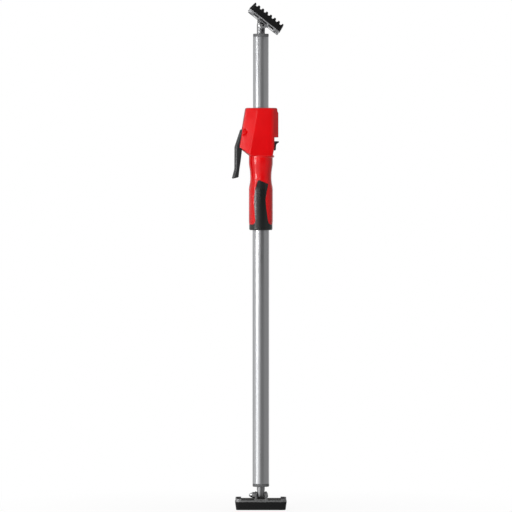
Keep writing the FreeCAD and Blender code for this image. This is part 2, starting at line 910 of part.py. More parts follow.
def grip_side(out):
    """Outer line of the grip from its lower shoulder, moved outwards."""
    drop = d.grip_rad - d.shoulder_drop
    return [
        (d.grip_rad + out, d.shoulder_low, d.bend_shoulder_low),
        (drop + out, d.slope_low, -d.bend_waist_low),
        (d.waist_rad + out, d.waist_z, -d.bend_waist_high),
        (drop + out, d.slope_high, d.bend_shoulder_high),
        (d.grip_rad + out, d.shoulder_high),
    ]


grip_core = d.tube_od / 2 - d.grip_skin
grip_foot = [
    (grip_core, d.grip_low),
    (d.grip_rad - d.grip_ease, d.grip_low),
    (d.grip_rad, d.grip_low + d.grip_lead),
]
grip_roof = [(d.grip_rad, d.grip_top), (grip_core, d.grip_top)]
grip = turned("grip_turned", grip_foot + grip_side(0) + grip_roof)
lip_side = outline(
    "lip",
    [(0, 657.5), (21.6, 657.5), (22.8, 658.6, 1.6), (22.6, 661.3), (21.2, 662.6), (0, 662.6)],
)
lip = turned("lip_turned", lip_side)
put(lip, (d.lip_back, 0, 0))
shell_blank = fuse("shell_blank", [housing_head, grip, lip])


# Soft grip: a ring under the shells with a tongue up each side

sleeve_foot = [
    (d.grip_rad - d.tongue_deep, d.tongue_low),
    (d.ring_rad - d.tongue_sunk, d.tongue_low),
    (d.grip_rad - d.grip_ease + d.tongue_proud, d.grip_low),
    (d.grip_rad + d.tongue_proud, d.grip_low + d.grip_lead),
]
lower_shoulder = grip_side(d.tongue_proud)[:2]
sleeve_roof = [
    (d.waist_rad + d.tongue_proud, d.waist_z),
    (d.waist_rad - d.tongue_deep, d.waist_z),
    (d.grip_rad - d.tongue_deep, d.shoulder_low),
]
sleeve = turned("sleeve_turned", sleeve_foot + lower_shoulder + sleeve_roof)
tongue = outline(
    "tongue",
    [
        (-15.6, 528.0),
        (15.0, 528.0),
        (15.0, 533.4, -12.0),
        (11.6, 540.0, -600.0),
        (7.35, 573.0, -45.0),
        (7.6, 584.0, -220.0),
        (11.9, 605.8, 2.6),
        (10.4, 609.0),
        (-4.0, 615.2, 3.0),
        (-7.2, 613.8, 85.0),
        (-14.0, 582.0, 300.0),
        (-12.0, 541.0, -8.0),
        (-15.6, 533.4),
    ],
)
tongue_prism = sawn("tongue_prism", tongue, d.grip_rad * 4)
tongues = common("tongues", [sleeve, tongue_prism])
ring = turned(
    "ring_turned",
    [
        (d.tube_od / 2, d.ring_low),
        (d.ring_rad - d.ring_round, d.ring_low, d.ring_round),
        (d.ring_rad, d.ring_low + d.ring_round),
        (d.ring_rad, d.grip_low),
        (d.tube_od / 2, d.grip_low),
    ],
)
soft = fuse("soft_grip_fused", [ring, tongues])
node("soft_grip", soft)


# Rooms and holes inside the housing

room = outline(
    "room",
    [
        (-24.0, -11.0),
        (-13.5, -17.6),
        (-8.0, -19.4),
        (18.0, -19.4),
        (20.6, -17.0),
        (20.6, 17.0),
        (18.0, 19.4),
        (-8.0, 19.4),
        (-13.5, 17.6),
        (-24.0, 11.0),
    ],
)


def room_block(name, low, high):
    body = new_body(name)
    sketch = new_sketch(body, "XY_Plane", low)
    draw_loop(sketch, room)
    pad(body, sketch, as_size(high) - low)
    return body


slot = outline(
    "slot",
    [
        (-70.0, 714.0),
        (-70.0, 640.0),
        (-25.2, 640.0),
        (-24.6, 667.0),
        (-22.6, 690.0),
        (-20.0, 701.0),
        (-20.0, 716.0),
        (-26.0, 716.0),
        (-34.0, 714.0),
    ],
)
half_long = d.shell_half * 2
window_low = (d.window_in, -d.window_half, d.window_low)
window_high = (d.window_out, d.window_half, d.window_high)
tools = [
    rod("tube_seat", d.tube_od / 2, (0, 0, d.trim_low), d.tube_high - d.trim_low),
    rod("low_bush_seat", d.low_bush_dia / 2, (0, 0, d.tube_high), d.room_low - d.tube_high),
    room_block("low_room", d.room_low, d.web_low),
    rod("web_hole", d.web_hole / 2, (0, 0, d.web_low), d.web_high - d.web_low),
    room_block("high_room", d.web_high, d.room_high),
    rod("high_bush_seat", d.high_bush_dia / 2, (0, 0, d.room_high), d.high_bush_top - d.room_high),
    rod("mouth", d.mouth_dia / 2, (0, 0, d.high_bush_top), d.trim_high - d.high_bush_top),
    sawn("lever_slot", slot, d.slot_half * 2),
    box("tab_window", window_low, window_high),
    rod("pin_hole", d.lever_pin / 2, (d.lever_x, -half_long, d.lever_z), half_long * 2, "y"),
    rod("cap_hole_a", d.cap_room / 2, (d.lever_x, d.cap_seat, d.lever_z), half_long, "y"),
    rod("cap_hole_b", d.cap_room / 2, (d.lever_x, -half_long - d.cap_seat, d.lever_z), half_long, "y"),
]

screw_spots = [
    (26.4, 731.0, 6.5, -9.0),
    (26.4, 706.0, 6.5, -9.0),
    (-22.6, 738.5, 7.5, -9.0),
    (18.6, 645.0, 6.0, -8.0),
    (-18.6, 645.0, 6.0, -8.0),
]
screws = []
for k, spot in enumerate(screw_spots):
    sx = cell(f"screw_across_{k}", spot[0], "housing screw, across")
    sz = cell(f"screw_height_{k}", spot[1], "housing screw, height")
    seat = cell(f"screw_seat_{k}", spot[2], "housing screw, head seat")
    tip = cell(f"screw_tip_{k}", spot[3], "housing screw, tip")
    shaft = rod(f"screw_shaft{k}", d.screw_dia / 2, (sx, tip, sz), seat - tip, "y")
    head = rod(f"screw_head{k}", d.screw_head / 2, (sx, seat, sz), d.screw_head_tall, "y")
    blank = fuse(f"screw_blank{k}", [shaft, head])
    floor = seat + d.cross_floor
    bars = []
    for wide, tall in ((d.cross_half, d.cross_thin), (d.cross_thin, d.cross_half)):
        near = (sx - wide, floor, sz - tall)
        far = (sx + wide, floor + d.screw_head_tall, sz + tall)
        bars.append(box(f"screw_bar{k}_{len(bars)}", near, far))
    screws.append(cut(f"screw{k}", blank, fuse(f"screw_cross{k}", bars)))
    well = rod(f"screw_well{k}", d.screw_head / 2, (sx, seat, sz), half_long, "y")
    tools.extend([shaft, well])
node("housing_screws", bundle("screw_set", screws))

hollow = fuse("shell_hollow", tools)
shell_open = cut("shell_open", shell_blank, hollow)
shell_bare = cut("shell_bare", shell_open, soft)
fulcrum = box(
    "fulcrum",
    (d.fulcrum_front, -d.fulcrum_half, d.fulcrum_low),
    (d.fulcrum_rear, d.fulcrum_half, d.fulcrum_top),
)
peg = rod("pegs_rod", d.peg_dia / 2, (0, -d.peg_reach, d.peg_z), d.peg_reach * 2, "y")
core_rad = stay_rad + d.peg_clear
peg_core = rod("pegs_core", core_rad, (0, 0, d.peg_z - d.peg_dia), d.peg_dia * 2)
pegs = cut("pegs", peg, peg_core)
shells = fuse("shells", [shell_bare, fulcrum, pegs])
far = d.trim_far
front_half = box("front_half", (-far, -far, d.trim_low), (far, 0, d.trim_high))
back_half = box("back_half", (-far, 0, d.trim_low), (far, far, d.trim_high))
node("housing_front", common("housing_front_half", [shells, front_half]))
node("housing_back", common("housing_back_half", [shells, back_half]))


# Guide bushes and the lever pin

node(
    "lower_guide_bush",
    turned(
        "lower_bush_turned",
        rectangle(d.bush_bore / 2, d.low_bush_dia / 2, d.tube_high, d.room_low),
    ),
)
node(
    "upper_guide_bush",
    turned(
        "upper_bush_turned",
        rectangle(d.bush_bore / 2, d.high_bush_dia / 2, d.room_high, d.high_bush_top),
    ),
)
pin_start = (d.lever_x, -d.cap_seat, d.lever_z)
node("lever_pivot_pin", rod("lever_pin_rod", d.lever_pin / 2, pin_start, d.cap_seat * 2, "y"))

caps = []
for k, flip in enumerate((-90, 90)):
    cap = turned(
        f"pin_cap{k}",
        [
            (0, d.cap_seat),
            (d.cap_dia / 2, d.cap_seat),
            (d.cap_dia / 2, d.cap_seat + d.cap_rim, d.cap_crown),
            (d.cap_tip, d.cap_seat + d.cap_tall),
            (0, d.cap_seat + d.cap_tall),
        ],
    )
    put(cap, (d.lever_x, 0, d.lever_z), Turn(X_AXIS, flip))
    caps.append(cap)
node("pivot_pin_caps", bundle("pin_caps", caps))


# Pump lever with its cam roller

lever_side = outline(
    "lever",
    [
        (-34.6, 711.4),
        (-38.9, 709.3),
        (-48.4, 680.5, 14.0),
        (-49.4, 674.5),
        (-49.6, 640.0, -24.0),
        (-50.6, 632.5),
        (-53.9, 620.4, 2.2),
        (-52.2, 618.3),
        (-43.6, 620.6, 2.0),
        (-42.4, 622.8),
        (-40.8, 636.1),
        (-38.2, 653.9),
        (-36.4, 669.5),
        (-33.0, 693.0),
        (-27.6, 701.8),
        (-19.0, 702.9, 2.3),
        (-19.3, 707.3),
        (-25.6, 707.4),
        (-29.4, 711.4),
    ],
)
lever_blank = sawn("lever_blank", lever_side, d.lever_half * 2)
channel = outline(
    "channel",
    [
        (-35.5, 706.0),
        (-45.4, 676.0),
        (-46.4, 640.0),
        (-49.6, 626.0),
        (-48.6, 622.6),
        (-30.0, 612.0),
        (-10.0, 640.0),
        (-10.0, 720.0),
        (-26.2, 720.0),
        (-26.2, 706.0),
    ],
)
channel_block = sawn("lever_channel", channel, (d.lever_half - d.lever_wall) * 2)

LEVER_BACK = (-43, 622, 708)


def lever_rim(edge):
    """Long edges of the lever's back, between its rounded end and its pivot."""
    spot = middle_of(edge)
    back, low, high = LEVER_BACK
    on_side = abs(abs(spot.y) - d.lever_half.value) < CLOSE
    return on_side and low < spot.z < high and spot.x < back


lever_soft = round_edges("lever_soft", lever_blank, [(d.lever_round, lever_rim)])
over = d.lever_half * 2
lever_bores = fuse(
    "lever_bores",
    [
        rod("lever_bore", d.lever_room / 2, (d.lever_x, -over, d.lever_z), over * 2, "y"),
        rod("roller_bore", d.roller_pin / 2, (d.roller_x, -over, d.roller_z), over * 2, "y"),
    ],
)
lever_hollow = cut("lever_hollow", lever_soft, channel_block)
boss_half = d.lever_half - d.boss_inset
boss = rod("lever_boss", d.boss_dia / 2, (d.lever_x, -boss_half, d.lever_z), boss_half * 2, "y")
lever_whole = fuse("lever_whole", [lever_hollow, boss])
node("lever", cut("lever_cut", lever_whole, lever_bores))

rolls = []
for part_name, size, half in (
    ("roller_body", d.roller_dia, d.lever_half - d.lever_wall - d.roller_play),
    ("roller_axle", d.roller_pin, d.lever_half),
):
    rolls.append(rod(part_name, size / 2, (d.roller_x, -half, d.roller_z), half * 2, "y"))
node("lever_roller", fuse("roller_fused", rolls))


# Gripping plates


def gripping_plate(name, corners, hole_x, thick):
    body = new_body(name)
    sketch = new_sketch(body, "XY_Plane")
    draw_loop(sketch, corners)
    draw_circle(sketch, hole_x, 0, d.grip_hole / 2)
    pad(body, sketch, thick, symmetric=True)
    return body


def mirrored_corners(half):
    """Corners of one side, completed with the other side."""
    other = [(x, -y) for x, y in reversed(half)]
    return half + other


drive_half = outline("drive", [(-22.8, -8.0), (-13.0, -16.4), (14.0, -17.4), (18.0, -13.0)])
drive = gripping_plate("drive_plate_sawn", mirrored_corners(drive_half), 0, d.drive_thick)
put(drive, (0, 0, d.drive_low + d.drive_thick / 2))
node("drive_plate", drive)

lock_half = outline(
    "lock",
    [(0.0, -9.6), (7.5, -16.6), (34.5, -17.4), (39.4, -13.5), (39.4, -8.0), (46.6, -8.0)],
)
lock_sawn = gripping_plate("lock_plate_sawn", mirrored_corners(lock_half), -d.lock_x, d.lock_thick)
lock_edge = rod("lock_plate_edge", d.lock_thick / 2, (0, -d.lock_nose, 0), d.lock_nose * 2, "y")
lock = fuse("lock_plate_fused", [lock_sawn, lock_edge])
put(lock, (d.lock_x, 0, d.lock_z), Turn(Y_AXIS, d.lock_tilt.value))
node("lock_plate", lock)

tab_side = outline(
    "tab",
    [
        (24.9, 688.3),
        (24.9, 671.2),
        (26.0, 670.8),
        (27.4, 672.6),
        (27.6, 679.0, -6.5),
        (31.6, 685.0),
        (32.9, 685.6),
        (32.9, 688.0),
        (32.6, 688.3),
    ],
)
tab = sawn("tab_blank", tab_side, d.tab_half * 2)
node("release_tab", cut("tab_cut", tab, lock))


# Springs

DRIVE_TURNS = 3.0
LOCK_TURNS = 1.5


def coil(name, low, high, turns):
    """Square-wire compression spring about the tube axis."""
    path = doc.addObject("Part::Helix", name + "_path")
    bind(path, "Radius", d.coil_rad)
    tall = as_size(high) - low - d.coil_tall
    bind(path, "Height", tall)
    bind(path, "Pitch", tall / turns)
    put(path, (0, 0, as_size(low) + d.coil_tall / 2))
    section = doc.addObject("Sketcher::SketchObject", name + "_section")
    section.Placement = FreeCAD.Placement(Vec(), Turn(X_AXIS, 90))
    half_wide = d.coil_wide / 2
    start = as_size(low)
    corners = rectangle(d.coil_rad - half_wide, d.coil_rad + half_wide, start, start + d.coil_tall)
    draw_loop(section, corners)
    wound = doc.addObject("Part::Sweep", name + "_wound")
    wound.Sections = [section]
    wound.Spine = (path, ["Edge1"])
    wound.Solid = True
    wound.Frenet = True
    return node(name, wound)


drive_seat = d.drive_low + d.drive_thick
coil("drive_spring", drive_seat + d.coil_gap, d.room_high - d.coil_gap, DRIVE_TURNS)
coil("lock_spring", d.lock_spring_low, d.web_low - d.coil_gap, LOCK_TURNS)


# Hand over every finished sub-part

doc.recompute()
for name, item in nodes.items():
    state = item.State
    if "Invalid" in state or "Error" in state:
        raise RuntimeError(f"{name}: {state}")
    shape = item.Shape
    if shape.isNull() or not shape.isValid():
        raise RuntimeError(f"{name}: bad shape")
    if not shape.Solids:
        raise RuntimeError(f"{name}: no solid")
    shape.exportStep(f"parts/{name}.step")
    bounds = shape.BoundBox
    print(f"{name:18s} {len(shape.Solids)} solids {shape.Volume:10.0f} "
          f"x {bounds.XMin:7.1f} {bounds.XMax:7.1f} y {bounds.YMin:6.1f} {bounds.YMax:6.1f} "
          f"z {bounds.ZMin:7.1f} {bounds.ZMax:7.1f}")
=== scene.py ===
import json
import math

import bmesh
import bpy
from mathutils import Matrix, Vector


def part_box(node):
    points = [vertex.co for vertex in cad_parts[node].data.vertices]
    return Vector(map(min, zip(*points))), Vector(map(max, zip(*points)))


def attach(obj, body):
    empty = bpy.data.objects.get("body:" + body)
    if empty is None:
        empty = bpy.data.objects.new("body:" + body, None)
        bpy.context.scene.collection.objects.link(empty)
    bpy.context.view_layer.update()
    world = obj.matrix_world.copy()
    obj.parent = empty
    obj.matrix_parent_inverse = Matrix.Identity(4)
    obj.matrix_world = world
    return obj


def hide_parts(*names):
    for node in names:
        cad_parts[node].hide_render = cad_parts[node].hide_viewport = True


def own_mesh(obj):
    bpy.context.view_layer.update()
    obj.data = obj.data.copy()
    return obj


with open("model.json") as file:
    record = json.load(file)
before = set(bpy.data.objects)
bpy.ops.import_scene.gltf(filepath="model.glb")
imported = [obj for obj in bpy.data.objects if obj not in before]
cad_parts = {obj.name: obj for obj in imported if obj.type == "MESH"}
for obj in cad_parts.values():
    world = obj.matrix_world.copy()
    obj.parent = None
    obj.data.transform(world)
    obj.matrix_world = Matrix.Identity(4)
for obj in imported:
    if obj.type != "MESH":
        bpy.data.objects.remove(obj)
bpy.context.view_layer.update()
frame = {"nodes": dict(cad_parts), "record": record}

MM = 0.001
scene = bpy.context.scene
body_of_node = {}
for body_name, members in frame["record"]["behaviour"]["bodies"].items():
    for member in members:
        body_of_node[member] = body_name
slot_of_node = {}
for entry in frame["record"]["subparts"]:
    slot_of_node[entry["node"]] = entry["material_slot"]


# Shader helpers


def add(tree, kind, values=None, **settings):
    """A node with its settings and its unlinked socket values."""
    made = tree.nodes.new(kind)
    for name, value in settings.items():
        setattr(made, name, value)
    for name, value in (values or {}).items():
        made.inputs[name].default_value = value
    return made


def join(tree, start, finish):
    tree.links.new(start, finish)


def new_group(name, inputs, outputs):
    """An empty shader group with named number sockets."""
    tree = bpy.data.node_groups.new(name, "ShaderNodeTree")
    for label, value in inputs:
        socket = tree.interface.new_socket(label, in_out="INPUT", socket_type="NodeSocketFloat")
        socket.default_value = value
    for label in outputs:
        tree.interface.new_socket(label, in_out="OUTPUT", socket_type="NodeSocketFloat")
    entry = tree.nodes.new("NodeGroupInput")
    leave = tree.nodes.new("NodeGroupOutput")
    return tree, entry, leave


def product(tree, first, second, **settings):
    made = add(tree, "ShaderNodeMath", operation="MULTIPLY", **settings)
    join(tree, first, made.inputs[0])
    join(tree, second, made.inputs[1])
    return made.outputs["Value"]


def give_mask(tree, entry, leave, first, second):
    """The product of two masks and the group's Amount, put out as its Mask."""
    both = product(tree, first, second)
    scaled = product(tree, both, entry.outputs["Amount"], use_clamp=True)
    join(tree, scaled, leave.inputs["Mask"])


def own_noise(tree, values):
    """Noise in the piece's own coordinates."""
    place = add(tree, "ShaderNodeTexCoord")
    noise = add(tree, "ShaderNodeTexNoise", values)
    join(tree, place.outputs["Object"], noise.inputs["Vector"])
    return noise


def build_grain():
    """Fine moulded grain, and a slow drift of tone across a piece."""
    tree, entry, leave = new_group(
        "moulded_grain", [("Grain Scale", 900.0), ("Drift Scale", 25.0)], ["Height", "Tone"]
    )
    fine = own_noise(tree, {"Detail": 3.0, "Roughness": 0.6})
    slow = own_noise(tree, {"Detail": 4.0, "Roughness": 0.55})
    join(tree, entry.outputs["Grain Scale"], fine.inputs["Scale"])
    join(tree, entry.outputs["Drift Scale"], slow.inputs["Scale"])
    join(tree, fine.outputs["Fac"], leave.inputs["Height"])
    join(tree, slow.outputs["Fac"], leave.inputs["Tone"])
    return tree


def build_edge_wear():
    """Mask along sharp edges, broken up by noise."""
    tree, entry, leave = new_group(
        "edge_wear", [("Reach", 0.0008), ("Amount", 1.0), ("Break Scale", 180.0)], ["Mask"]
    )
    soft = add(tree, "ShaderNodeBevel", samples=6)
    join(tree, entry.outputs["Reach"], soft.inputs["Radius"])
    actual = add(tree, "ShaderNodeNewGeometry")
    likeness = add(tree, "ShaderNodeVectorMath", operation="DOT_PRODUCT")
    join(tree, soft.outputs["Normal"], likeness.inputs[0])
    join(tree, actual.outputs["Normal"], likeness.inputs[1])
    bend = add(
        tree,
        "ShaderNodeMapRange",
        {"From Min": 0.995, "From Max": 0.86, "To Min": 0.0, "To Max": 1.0},
    )
    join(tree, likeness.outputs["Value"], bend.inputs["Value"])
    patches = own_noise(tree, {"Detail": 5.0, "Roughness": 0.65})
    join(tree, entry.outputs["Break Scale"], patches.inputs["Scale"])
    keep = add(tree, "ShaderNodeMapRange", {"From Min": 0.38, "From Max": 0.62})
    join(tree, patches.outputs["Fac"], keep.inputs["Value"])
    give_mask(tree, entry, leave, bend.outputs["Result"], keep.outputs["Result"])
    return tree


def build_dust():
    """Mask of settled dust on faces that look up."""
    tree, entry, leave = new_group("settled_dust", [("Amount", 0.2), ("Scale", 70.0)], ["Mask"])
    actual = add(tree, "ShaderNodeNewGeometry")
    parts = add(tree, "ShaderNodeSeparateXYZ")
    join(tree, actual.outputs["Normal"], parts.inputs["Vector"])
    upward = add(tree, "ShaderNodeMapRange", {"From Min": 0.25, "From Max": 0.95})
    join(tree, parts.outputs["Z"], upward.inputs["Value"])
    specks = own_noise(tree, {"Detail": 6.0, "Roughness": 0.7})
    join(tree, entry.outputs["Scale"], specks.inputs["Scale"])
    give_mask(tree, entry, leave, upward.outputs["Result"], specks.outputs["Fac"])
    return tree


def build_drawn_lines():
    """Drawing lines and a few scratches, stretched along Z or round it by their scales."""
    tree, entry, leave = new_group(
        "drawn_lines", [("Across", 2600.0), ("Along", 9.0), ("Scratch", 0.5)], ["Line", "Scratch"]
    )
    place = add(tree, "ShaderNodeTexCoord")
    stretch = add(tree, "ShaderNodeCombineXYZ")
    for axis in ("X", "Y"):
        join(tree, entry.outputs["Across"], stretch.inputs[axis])
    join(tree, entry.outputs["Along"], stretch.inputs["Z"])
    scaled = add(tree, "ShaderNodeVectorMath", operation="MULTIPLY")
    join(tree, place.outputs["Object"], scaled.inputs[0])
    join(tree, stretch.outputs["Vector"], scaled.inputs[1])
    lines = add(tree, "ShaderNodeTexNoise", {"Scale": 1.0, "Detail": 3.0, "Roughness": 0.6})
    join(tree, scaled.outputs["Vector"], lines.inputs["Vector"])
    join(tree, lines.outputs["Fac"], leave.inputs["Line"])
    rare = add(tree, "ShaderNodeTexNoise", {"Scale": 0.45, "Detail": 2.0})
    join(tree, scaled.outputs["Vector"], rare.inputs["Vector"])
    only = add(tree, "ShaderNodeMapRange", {"From Min": 0.66, "From Max": 0.72})
    join(tree, rare.outputs["Fac"], only.inputs["Value"])
    weight = product(tree, only.outputs["Result"], entry.outputs["Scratch"], use_clamp=True)
    join(tree, weight, leave.inputs["Scratch"])
    return tree


def build_floor_darkening():
    """Mask that darkens a piece towards the floor and thins out upwards."""
    tree, entry, leave = new_group("floor_darkening", [("Top", 0.06), ("Amount", 1.0)], ["Mask"])
    place = add(tree, "ShaderNodeTexCoord")
    parts = add(tree, "ShaderNodeSeparateXYZ")
    join(tree, place.outputs["Object"], parts.inputs["Vector"])
    low = add(tree, "ShaderNodeMapRange", {"To Min": 1.0, "To Max": 0.0})
    join(tree, parts.outputs["Z"], low.inputs["Value"])
    join(tree, entry.outputs["Top"], low.inputs["From Max"])
    patches = own_noise(tree, {"Scale": 120.0, "Detail": 5.0, "Roughness": 0.6})
    uneven = add(tree, "ShaderNodeMapRange", {"From Min": 0.3, "From Max": 0.6, "To Min": 0.7})
    join(tree, patches.outputs["Fac"], uneven.inputs["Value"])
    give_mask(tree, entry, leave, low.outputs["Result"], uneven.outputs["Result"])
    return tree


GRAIN = build_grain()
EDGE_WEAR = build_edge_wear()
DUST = build_dust()
DRAWN = build_drawn_lines()
FLOOR_DARKENING = build_floor_darkening()


# Places of the colour sockets on a Mix node, whose names its number sockets share
MIX_COLOURS = (6, 7)
MIX_RESULT = 2


class Finish:
    """One material under construction, with its Principled shader."""

    def __init__(self, name, **plain):
        self.material = bpy.data.materials.new(name)
        self.material.use_nodes = True
        self.tree = self.material.node_tree
        self.shader = self.tree.nodes["Principled BSDF"]
        for label, value in plain.items():
            self.shader.inputs[label.replace("_", " ")].default_value = value

    def group(self, tree, **values):
        made = add(self.tree, "ShaderNodeGroup", node_tree=tree)
        for label, value in values.items():
            made.inputs[label.replace("_", " ")].default_value = value
        return made

    def mix(self, mask, first, second):
        """Colour between two, by a mask socket; either end may be a socket."""
        made = add(self.tree, "ShaderNodeMix", data_type="RGBA")
        join(self.tree, mask, made.inputs["Factor"])
        for place, colour in zip(MIX_COLOURS, (first, second)):
            if isinstance(colour, bpy.types.NodeSocket):
                join(self.tree, colour, made.inputs[place])
            else:
                made.inputs[place].default_value = (*colour, 1.0)
        return made.outputs[MIX_RESULT]

    def spread(self, value, low, high):
        """A 0 to 1 socket spread over another range."""
        made = add(self.tree, "ShaderNodeMapRange", {"To Min": low, "To Max": high})
        join(self.tree, value, made.inputs["Value"])
        return made.outputs["Result"]

    def total(self, first, second):
        made = add(self.tree, "ShaderNodeMath", operation="ADD")
        join(self.tree, first, made.inputs[0])
        join(self.tree, second, made.inputs[1])
        return made.outputs["Value"]

    def colour(self, socket):
        join(self.tree, socket, self.shader.inputs["Base Color"])

    def roughness(self, socket):
        join(self.tree, socket, self.shader.inputs["Roughness"])

    def bump(self, height, strength, distance, soften):
        """Fine relief, over edges that look rounded by a radius."""
        made = add(self.tree, "ShaderNodeBump", {"Strength": strength, "Distance": distance})
        join(self.tree, height, made.inputs["Height"])
        if soften > 0:
            edge = add(self.tree, "ShaderNodeBevel", {"Radius": soften}, samples=8)
            join(self.tree, edge.outputs["Normal"], made.inputs["Normal"])
        join(self.tree, made.outputs["Normal"], self.shader.inputs["Normal"])


PLASTIC_DUST = (0.42, 0.40, 0.37)
STEEL_DUST = (0.36, 0.35, 0.33)
# Colour that steel takes towards the floor: darker near the floor
FLOOR_DARK_TONE = (0.085, 0.083, 0.08)

# Moulded finishes: darkest and lightest share of the colour, change of roughness, bump
MOULDED_TONES = (0.86, 1.12)
MOULDED_ROUGH_DRIFT = (-0.06, 0.08)
MOULDED_BUMP = 0.35

# Steel finishes: the same for the drawing lines, then a scratch, then slow change of roughness
LINE_TONES = (0.9, 1.07)
LINE_ROUGH_DRIFT = (-0.05, 0.05)
LINE_BUMP = 0.25
SCRATCH_TONE = 0.8
STEEL_ROUGH_DRIFT = (-0.06, 0.06)


def toned(colour, share):
    return tuple(share * part for part in colour)


def moulded(name, colour, worn, rough, grain, depth, dust, soften=0.0, **plain):
    """Moulded plastic or rubber: grain, tone drift, worn edges, dust."""
    finish = Finish(name, **plain)
    surface = finish.group(GRAIN, Grain_Scale=grain, Drift_Scale=22.0)
    wear = finish.group(EDGE_WEAR, Reach=0.7 * MM, Amount=0.55)
    settled = finish.group(DUST, Amount=dust)
    tone = surface.outputs["Tone"]
    base = finish.mix(tone, *(toned(colour, share) for share in MOULDED_TONES))
    base = finish.mix(wear.outputs["Mask"], base, worn)
    base = finish.mix(settled.outputs["Mask"], base, PLASTIC_DUST)
    finish.colour(base)
    finish.roughness(finish.spread(tone, *(rough + drift for drift in MOULDED_ROUGH_DRIFT)))
    finish.bump(surface.outputs["Height"], MOULDED_BUMP, depth, soften)
    return finish.material


def steel(name, colour, worn, rough, across, along, depth, dust=0.0, floor_dark=0.0):
    """Bare or plated steel with drawing lines, scratches, dust, and darker towards the floor."""
    finish = Finish(name, Metallic=1.0)
    drawn = finish.group(DRAWN, Across=across, Along=along, Scratch=0.35)
    surface = finish.group(GRAIN, Grain_Scale=600.0, Drift_Scale=14.0)
    wear = finish.group(EDGE_WEAR, Reach=0.6 * MM, Amount=0.5)
    settled = finish.group(DUST, Amount=dust)
    line = drawn.outputs["Line"]
    base = finish.mix(line, *(toned(colour, share) for share in LINE_TONES))
    base = finish.mix(drawn.outputs["Scratch"], base, toned(colour, SCRATCH_TONE))
    base = finish.mix(wear.outputs["Mask"], base, worn)
    base = finish.mix(settled.outputs["Mask"], base, STEEL_DUST)
    # Darker towards the floor, by the mask that thins out upwards
    if floor_dark > 0:
        darkened = finish.group(FLOOR_DARKENING, Amount=floor_dark)
        base = finish.mix(darkened.outputs["Mask"], base, FLOOR_DARK_TONE)
    finish.colour(base)
    slow = finish.spread(surface.outputs["Tone"], *(rough + drift for drift in STEEL_ROUGH_DRIFT))
    finish.roughness(finish.total(slow, finish.spread(line, *LINE_ROUGH_DRIFT)))
    finish.bump(line, LINE_BUMP, depth, 0.0)
    return finish.material


FINISHES = {
    "tube_steel": steel(
        "satin_tube",
        colour=(0.43, 0.435, 0.445),
        worn=(0.62, 0.62, 0.63),
        rough=0.30,
        across=2600.0,
        along=9.0,
        depth=0.008 * MM,
    ),
    "turned_steel": steel(
        "turned_steel",
        colour=(0.29, 0.293, 0.30),
        worn=(0.6, 0.6, 0.6),
        rough=0.30,
        across=300.0,
        along=2400.0,
        depth=0.01 * MM,
        dust=0.05,
        # darker towards the floor
        floor_dark=0.6,
    ),
    "plate_steel": steel(
        "pressed_plate",
        colour=(0.42, 0.425, 0.435),
        worn=(0.62, 0.62, 0.62),
        rough=0.50,
        across=500.0,
        along=500.0,
        depth=0.03 * MM,
        dust=0.08,
        # darker towards the floor
        floor_dark=1.0,
    ),
    "zinc_steel": steel(
        "zinc_fastener",
        colour=(0.46, 0.463, 0.468),
        worn=(0.75, 0.75, 0.75),
        rough=0.29,
        across=700.0,
        along=700.0,
        depth=0.01 * MM,
        dust=0.04,
    ),
    "grip_steel": steel(
        "hardened_plate",
        colour=(0.30, 0.30, 0.31),
        worn=(0.5, 0.5, 0.5),
        rough=0.40,
        across=900.0,
        along=900.0,
        depth=0.03 * MM,
    ),
    "spring_steel": steel(
        "spring_wire",
        colour=(0.38, 0.38, 0.39),
        worn=(0.5, 0.5, 0.5),
        rough=0.30,
        across=800.0,
        along=800.0,
        depth=0.01 * MM,
    ),
    "red_plastic": moulded(
        "red_housing",
        colour=(0.76, 0.0015, 0.0035),
        worn=(0.80, 0.03, 0.03),
        rough=0.20,
        grain=1100.0,
        depth=0.03 * MM,
        dust=0.03,
        soften=1.8 * MM,
        Specular_IOR_Level=0.36,
    ),
    "black_plastic": moulded(
        "black_lever",
        colour=(0.009, 0.0095, 0.0105),
        worn=(0.05, 0.05, 0.055),
        rough=0.34,
        grain=1300.0,
        depth=0.10 * MM,
        dust=0.05,
        Specular_IOR_Level=0.6,
    ),
    "soft_rubber": moulded(
        "soft_grip",
        colour=(0.0045, 0.0055, 0.005),
        worn=(0.02, 0.02, 0.02),
        rough=0.27,
        grain=1500.0,
        depth=0.12 * MM,
        dust=0.03,
        Specular_IOR_Level=0.5,
    ),
    "pad_rubber": moulded(
        "ribbed_rubber",
        colour=(0.0045, 0.0045, 0.0048),
        worn=(0.03, 0.03, 0.03),
        rough=0.60,
        grain=1100.0,
        depth=0.1 * MM,
        dust=0.08,
        Specular_IOR_Level=0.18,
    ),
    "cap_plastic": moulded(
        "end_cap",
        colour=(0.12, 0.121, 0.125),
        worn=(0.25, 0.25, 0.25),
        rough=0.5,
        grain=1200.0,
        depth=0.05 * MM,
        dust=0.1,
    ),
    "bush_plastic": moulded(
        "guide_bush",
        colour=(0.02, 0.02, 0.02),
        worn=(0.08, 0.08, 0.08),
        rough=0.5,
        grain=1200.0,
        depth=0.04 * MM,
        dust=0.0,
    ),
}


# Piece helpers


def new_piece(name, mesh, node):
    """A mesh that stands for one solid, with the solid's finish."""
    piece = bpy.data.objects.new(name, mesh)
    scene.collection.objects.link(piece)
    mesh.materials.clear()
    mesh.materials.append(FINISHES[slot_of_node[node]])
    return piece


def settle(piece, node):
    """Ride on the solid's body and take its place."""
    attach(piece, body_of_node[node])
    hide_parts(node)


def smooth_by_angle(mesh, degrees):
    for polygon in mesh.polygons:
        polygon.use_smooth = True
    mesh.set_sharp_from_angle(angle=math.radians(degrees))


MERGE_DISTANCE = 0.002 * MM
FLAT_DEGREES = 0.4
HARD_EDGE_DEGREES = 28.0
EASE_SEGMENTS = 2


